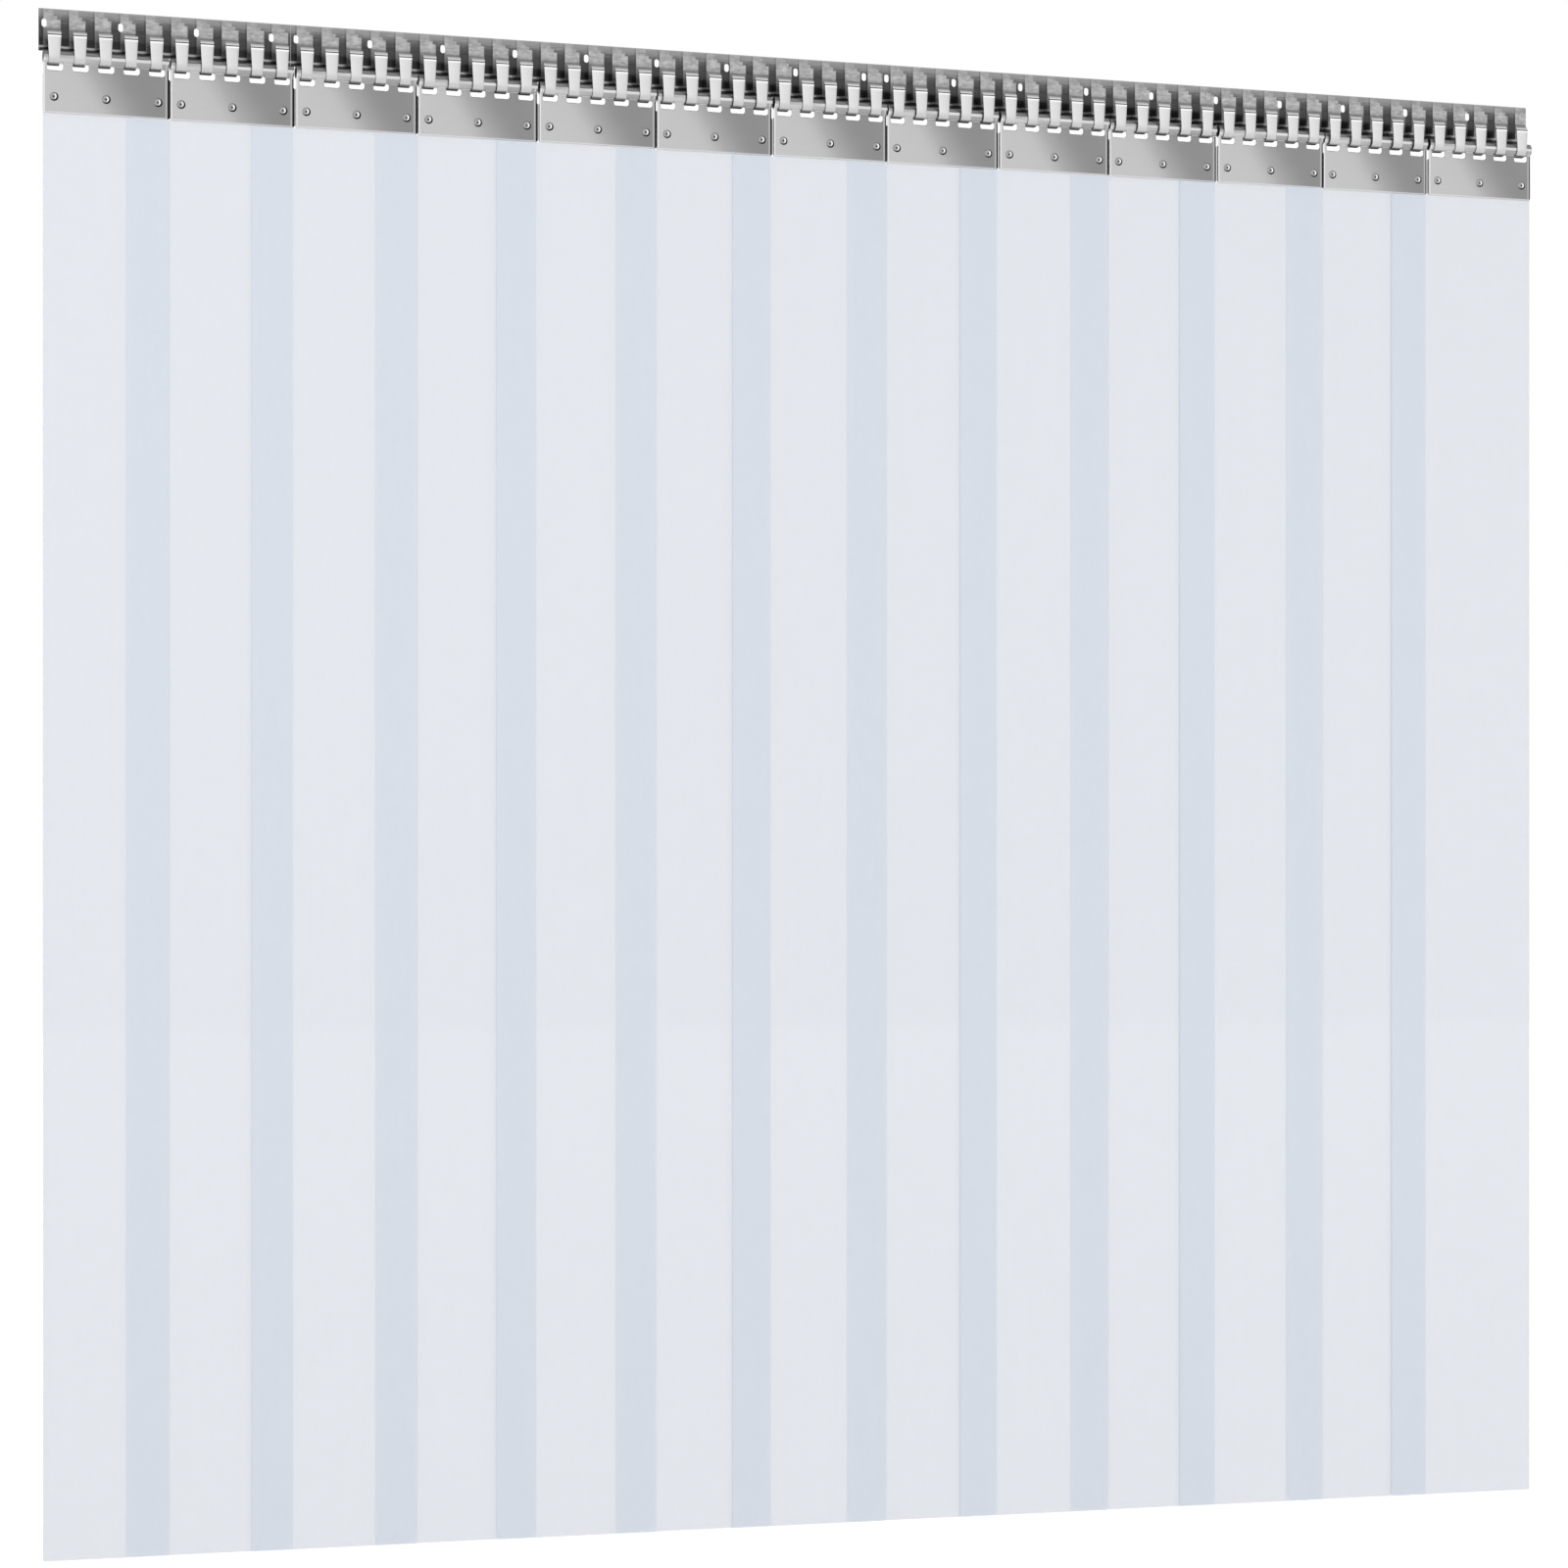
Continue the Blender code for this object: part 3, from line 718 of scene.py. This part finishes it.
def rail_path():
    """Middle line of the rail's sheet: down the flange, round a hook's corners, up to its lip."""
    flange = RAIL_SHEET / 2
    path = [Vector((flange, RAIL_TOP)), Vector((flange, TONGUE_CROWN - TONGUE_DEPTH))]
    turn = pi / 2 / CORNER_BENDS
    reach = (TROUGH_RADIUS + RAIL_SHEET / 2) / cos(turn / 2)
    for i in range(2 * CORNER_BENDS):
        corner = HOOK_CENTRE_OUT + (HANGER_SHIFT if i >= CORNER_BENDS else -HANGER_SHIFT)
        a = (i + 0.5) * turn
        path.append(Vector((corner - reach * cos(a), -TROUGH_DEPTH - reach * sin(a))))
    front = 2 * HOOK_CENTRE_OUT - flange
    for a in steps(0, LIP_LEAN, LIP_BENDS):
        path.append(Vector((front - LIP_BEND_RADIUS * (1 - cos(a)), FINGER_TOP + LIP_BEND_RADIUS * sin(a))))
    rest = LIP_LENGTH - LIP_BEND_RADIUS * LIP_LEAN
    path.append(path[-1] + rest * Vector((-sin(LIP_LEAN), cos(LIP_LEAN))))
    return path


def hook_half_width(section, length):
    """Half width of a finger: even round its corners, and wider from there to its tip."""
    base = section[1 + 2 * CORNER_BENDS][0]
    flare = max(0.0, (length - base) / (section[-1][0] - base))
    return (HOOK_WIDTH + flare * (HOOK_TIP_WIDTH - HOOK_WIDTH)) / 2


def make_rail(name, material):
    """One rail section as a flat blank with its screw holes and fingers, bent along its section."""
    low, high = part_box(name)
    section = sheet_section(rail_path(), RAIL_SHEET)
    start = min(p.x for p in HANGERS.values() if p.x > low.x) - HANGER_PITCH / 2
    left, right = low.x - start, high.x - start
    count = round((right - left) / HOOK_PITCH)
    hooks = [(i + 0.5) * HOOK_PITCH - HANGER_SETTLE for i in range(count)]

    layout = bmesh.new()
    half_gap = (HOOK_PITCH - HOOK_WIDTH) / 2
    outline = [(right, 0), (left, 0)]
    for middle in [hooks[0] - HOOK_PITCH] + hooks:
        for share in steps(-1, 1, TONGUE_STEPS):
            x = middle + HOOK_PITCH / 2 + share * half_gap
            if left - SAME_PLACE < x < right + SAME_PLACE:
                outline.append((x, RAIL_TOP + TONGUE_DEPTH - TONGUE_CROWN * share * share))
    if outline[2][0] > left + RAIL_EDGE:
        outline.insert(2, (left, outline[2][1]))
    if outline[-1][0] < right - RAIL_EDGE:
        outline.append((right, outline[-1][1]))
    verts, edges = add_loop(layout, outline)
    hole = left + SCREW_HOLE_INSET
    while hole + SCREW_HOLE_WIDTH < right:
        edges += add_loop(layout, long_hole((hole, RAIL_TOP), SCREW_HOLE_WIDTH, SCREW_HOLE_HEIGHT))[1]
        hole += HOOKS_PER_SCREW_HOLE * HOOK_PITCH
    fill(layout, edges)

    root = [v for v in verts if abs(v.co.y - RAIL_TOP - TONGUE_DEPTH + TONGUE_CROWN) < SAME_PLACE]
    for middle in hooks:
        pair = sorted((v for v in root if abs(abs(v.co.x - middle) - HOOK_WIDTH / 2) < SAME_PLACE),
                      key=lambda v: v.co.x)
        row = tuple(pair)
        for length, _, _ in section[2:]:
            half = hook_half_width(section, length)
            new = [layout.verts.new((middle + side * half, length, 0)) for side in (-1, 1)]
            layout.faces.new((row[0], row[1], new[1], new[0]))
            row = new

    def place(x, length, side):
        out, up = on_section(section, length, side)
        return Vector((x, -out, up))

    mesh = finish_mesh(name, thicken(layout, place))
    piece = name.replace("section", "sheet")
    add_piece(piece, mesh, material, "rail", [name], (start, 0, 0), RAIL_EDGE)


def front_plate_path():
    """Middle line of the front plate's sheet, from its lower edge up and round the roll."""
    radius = ROLL_RADIUS - PLATE_SHEET / 2
    start = -acos(LEAF_OUT / radius)
    path = [Vector((LEAF_OUT, PLATE_LOW.z))]
    path += [radius * Vector((cos(a), sin(a))) for a in steps(start, start + ROLL_TURN, ROLL_STEPS)]
    return path


def slot_outline(middle, top, bottom):
    """Slot edge from its upper right corner, round its two lower corners, to its upper left."""
    half = SLOT_WIDTH / 2
    points = [(middle + half, top)]
    for side, first in ((1, 0), (-1, -pi / 2)):
        corner = (middle + side * (half - SLOT_CORNER), bottom + SLOT_CORNER)
        points += arc(corner, SLOT_CORNER, first, first - pi / 2, CORNER_STEPS)
    points.append((middle - half, top))
    return points


def make_front_plate():
    """Slotted leaf with its rolled edge."""
    section = sheet_section(front_plate_path(), PLATE_SHEET)
    half = PLATE_HIGH.x
    bend = section[1][0]
    slot_bottom = -PLATE_LOW.z - SLOT_DROP
    outline = arc((-half + PLATE_CORNER, PLATE_CORNER), PLATE_CORNER, -pi, -pi / 2, CORNER_STEPS)
    outline += arc((half - PLATE_CORNER, PLATE_CORNER), PLATE_CORNER, -pi / 2, 0, CORNER_STEPS)
    outline.append((half, bend))
    for i in reversed(range(HOOKS_PER_HANGER)):
        outline += slot_outline((i + 0.5) * HOOK_PITCH - HANGER_PITCH / 2, bend, slot_bottom)
    outline.append((-half, bend))

    layout = bmesh.new()
    verts, edges = add_loop(layout, outline)
    row = [v for v, point in zip(verts, outline) if point[1] == bend]
    fill(layout, edges)
    for length, _, _ in section[2:]:
        new = [layout.verts.new((x, length, 0)) for x in (-half, half)]
        layout.faces.new(row + new)
        row = new[::-1]

    def place(x, length, side):
        out, up = on_section(section, length, side)
        return Vector((x, -out, up))

    return finish_mesh("plate_leaf", thicken(layout, place))


def flat_sheet(name, outline, holes, front, thickness):
    """Flat upright sheet with its front skin that far in front of the axis."""
    layout = bmesh.new()
    edges = add_loop(layout, outline)[1]
    for x in holes:
        edges += add_loop(layout, circle((x, -RIVET_DROP), RIVET_HOLE_RADIUS))[1]
    fill(layout, edges)

    def place(x, up, side):
        return Vector((x, side * thickness - front, up))

    return finish_mesh(name, thicken(layout, place))


def rounded_box(low, high, radius):
    """Corners of an upright rectangle, rounded, from the lower left anticlockwise."""
    left, right = low.x + radius, high.x - radius
    bottom, top = low.z + radius, high.z - radius
    points = []
    for centre, first in (((left, bottom), pi), ((right, bottom), 3 * pi / 2),
                          ((right, top), 0), ((left, top), pi / 2)):
        points += arc(centre, radius, first, first + pi / 2, CORNER_STEPS)
    return points


def rivet_places():
    """Where a hanger's three rivets are along its plate."""
    edge = PLATE_HIGH.x - RIVET_EDGE
    return (-edge, 0, edge)


def strip_outline(lapped):
    """Edge of a strip, from its lower left corner. A lapped one reaches past its plate at the left, from just
    below its neighbour's foot."""
    if not lapped:
        return rounded_box(STRIP_LOW, STRIP_HIGH, STRIP_CORNER)
    corners = rounded_box(Vector((LAP_LOW.x, 0, STRIP_LOW.z)), STRIP_HIGH, STRIP_CORNER)
    points = corners[:3 * (CORNER_STEPS + 1)]
    for x, z, first, last in (
            (STRIP_LOW.x + STRIP_CORNER, STRIP_HIGH.z - STRIP_CORNER, pi / 2, pi),
            (STRIP_LOW.x - STRIP_CORNER, LAP_HIGH.z + STRIP_CORNER, 0, -pi / 2),
            (LAP_LOW.x + STRIP_CORNER, LAP_HIGH.z - STRIP_CORNER, pi / 2, pi)):
        points += arc((x, z), STRIP_CORNER, first, last, CORNER_STEPS)
    return points


def add_ring(solid, x, out, radius):
    """Ring of vertices round a rivet's axis that far in front of the roll's, or one vertex for no radius."""
    points = circle((0, 0), radius) if radius else [(0, 0)]
    return [solid.verts.new((x + u, -out, -RIVET_DROP + v)) for u, v in points]


def bridge(solid, first, second):
    """Faces from a ring or a single vertex to the next ring."""
    for i in range(RIVET_SIDES):
        j = (i + 1) % RIVET_SIDES
        if len(first) == 1:
            solid.faces.new((first[0], second[i], second[j]))
        else:
            solid.faces.new((first[i], second[i], second[j], first[j]))


def revolve(solid, x, profile, height, out, way):
    """Adds a turned shape about Y: profile radii with shares of its height, built out from a face."""
    rings = [add_ring(solid, x, out + way * share * height, radius) for radius, share in profile]
    for inner, outer in zip(rings, rings[1:]):
        bridge(solid, inner, outer)
    return rings[-1]


def make_rivets():
    """A hanger's three rivets: domed head with a dimple, shank, and turned-over tail."""
    solid = bmesh.new()
    face = LEAF_OUT + PLATE_SHEET / 2
    rear = -BACK_HIGH.y
    for x in rivet_places():
        head = revolve(solid, x, RIVET_HEAD, RIVET_HEAD_HEIGHT, face, 1)
        tail = revolve(solid, x, RIVET_TAIL, RIVET_TAIL_HEIGHT, rear, -1)
        necks = [add_ring(solid, x, out, RIVET_SHANK_RADIUS) for out in (face, rear)]
        for first, second in ((head, necks[0]), (necks[0], necks[1]), (necks[1], tail)):
            bridge(solid, first, second)
    return finish_mesh("rivets", solid)


def make_hangers():
    """Front plate, rivets, back plate and strip of each hanger."""
    plate_steel = plate_material()
    back_steel = back_plate_material()
    rivet_steel = rivet_material()
    pvc = pvc_material("pvc_clear", True)
    end_pvc = pvc_material("pvc_clear_end", False)
    front_plate = make_front_plate()
    rivets = make_rivets()
    back_plate = flat_sheet("clamp_plate", rounded_box(BACK_LOW, BACK_HIGH, PLATE_CORNER), rivet_places(),
                            -BACK_LOW.y, BACK_HIGH.y - BACK_LOW.y)
    strips = [flat_sheet("pvc_strip", strip_outline(lapped), rivet_places(), STRIP_THICKNESS / 2,
                         STRIP_THICKNESS) for lapped in (False, True)]
    end_strip = strips[True].copy()  # the last strip has no neighbour at its right, so it looks different
    last = max(HANGERS)
    for key, axis in HANGERS.items():
        body = f"hanger_{key}"
        lapped = key != "01"
        nodes = [f"strip_{key}"] + ([f"strip_{key}_lap"] if lapped else [])
        add_piece(f"plate_leaf_{key}", front_plate, plate_steel, body, [f"front_plate_{key}"],
                  axis, PLATE_EDGE)
        add_piece(f"rivets_{key}", rivets, rivet_steel, body, [f"front_plate_{key}"], axis)
        add_piece(f"clamp_plate_{key}", back_plate, back_steel, body, [f"back_plate_{key}"],
                  axis, PLATE_EDGE)
        strip, look = (end_strip, end_pvc) if key == last else (strips[lapped], pvc)
        add_piece(f"pvc_strip_{key}", strip, look, body, nodes, axis, STRIP_EDGE)


# Studio
FLOOR_DROP = 0.30
FLOOR_SIZE = 60.0
FLOOR_SEEN_SHARE = 0.1
FLOOR_LIFT = 0.945
WORLD_LEVEL = 0.55


def seen_directly(tree):
    """1 for the rays with which the camera, reflections and clear parts see a surface, else 0."""
    rays = node(tree, "LightPath").outputs
    seen = calc(tree, "MAXIMUM", rays["Is Camera Ray"], rays["Is Glossy Ray"])
    return calc(tree, "MAXIMUM", seen, rays["Is Transmission Ray"])


def make_world():
    """Even white surroundings, seen at full strength and lighting the object with less."""
    world = bpy.data.worlds.new("studio")
    bpy.context.scene.world = world
    world.use_nodes = True
    tree = world.node_tree
    tree.nodes.clear()
    light = node(tree, "Background", {"Color": WHITE, "Strength": WORLD_LEVEL}).outputs[0]
    white = node(tree, "Background", {"Color": WHITE, "Strength": 1.0}).outputs[0]
    mixed = node(tree, "MixShader", {0: seen_directly(tree), 1: light, 2: white}).outputs[0]
    node(tree, "OutputWorld", {"Surface": mixed})


def make_floor():
    """Plain pale floor a little below the strips' feet, white where it is seen, with a faint shadow."""
    mesh = bpy.data.meshes.new("floor")
    solid = bmesh.new()
    bmesh.ops.create_grid(solid, x_segments=1, y_segments=1, size=FLOOR_SIZE / 2)
    solid.to_mesh(mesh)
    solid.free()
    floor = bpy.data.objects.new("floor", mesh)
    bpy.context.scene.collection.objects.link(floor)
    floor.location.z = cad_box[0].z - FLOOR_DROP
    material, tree, shader = new_material("floor_white", Roughness=0.9)
    seen = seen_directly(tree)
    colour = mix(tree, seen, WHITE, (*[FLOOR_SEEN_SHARE] * 3, 1.0))
    tree.links.new(colour, shader.inputs["Base Color"])
    shader.inputs["Emission Color"].default_value = WHITE
    tree.links.new(calc(tree, "MULTIPLY", seen, FLOOR_LIFT), shader.inputs["Emission Strength"])
    mesh.materials.append(material)


# Each lamp's place, what it points at, its size and its power
LAMPS = {
    "key": ((-2.2, -3.4, 0.4), (0.0, 0.0, -1.0), 2.4, 51.0),
    "fill": ((2.8, -3.0, -0.7), (0.0, 0.0, -1.1), 2.6, 29.0),
    "back": ((0.6, 3.6, 1.2), (0.0, 0.0, -0.9), 2.8, 42.0),
}


def make_lamps():
    """Large soft lamps, which the metal doesn't mirror."""
    for name, (place, target, size, power) in LAMPS.items():
        data = bpy.data.lights.new(name, "AREA")
        data.size = size
        data.energy = power
        lamp = bpy.data.objects.new(name, data)
        bpy.context.scene.collection.objects.link(lamp)
        lamp.visible_glossy = False
        lamp.location = place
        lamp.rotation_euler = (Vector(target) - Vector(place)).to_track_quat("-Z", "Y").to_euler()


def make_camera():
    """Level camera, with the shift that the photograph's framing needs."""
    data = bpy.data.cameras.new("camera")
    data.lens = CAMERA_LENS
    data.shift_y = CAMERA_SHIFT
    camera = bpy.data.objects.new("camera", data)
    bpy.context.scene.collection.objects.link(camera)
    camera.location = CAMERA_PLACE
    camera.rotation_euler = (pi / 2, 0, -CAMERA_YAW)
    bpy.context.scene.camera = camera


def main():
    """Builds the scene."""
    bpy.context.scene.view_settings.view_transform = "Standard"
    make_camera()
    make_world()
    make_floor()
    make_lamps()
    rail_steel = rail_material()
    for name in RAILS:
        make_rail(name, rail_steel)
    make_hangers()


main()
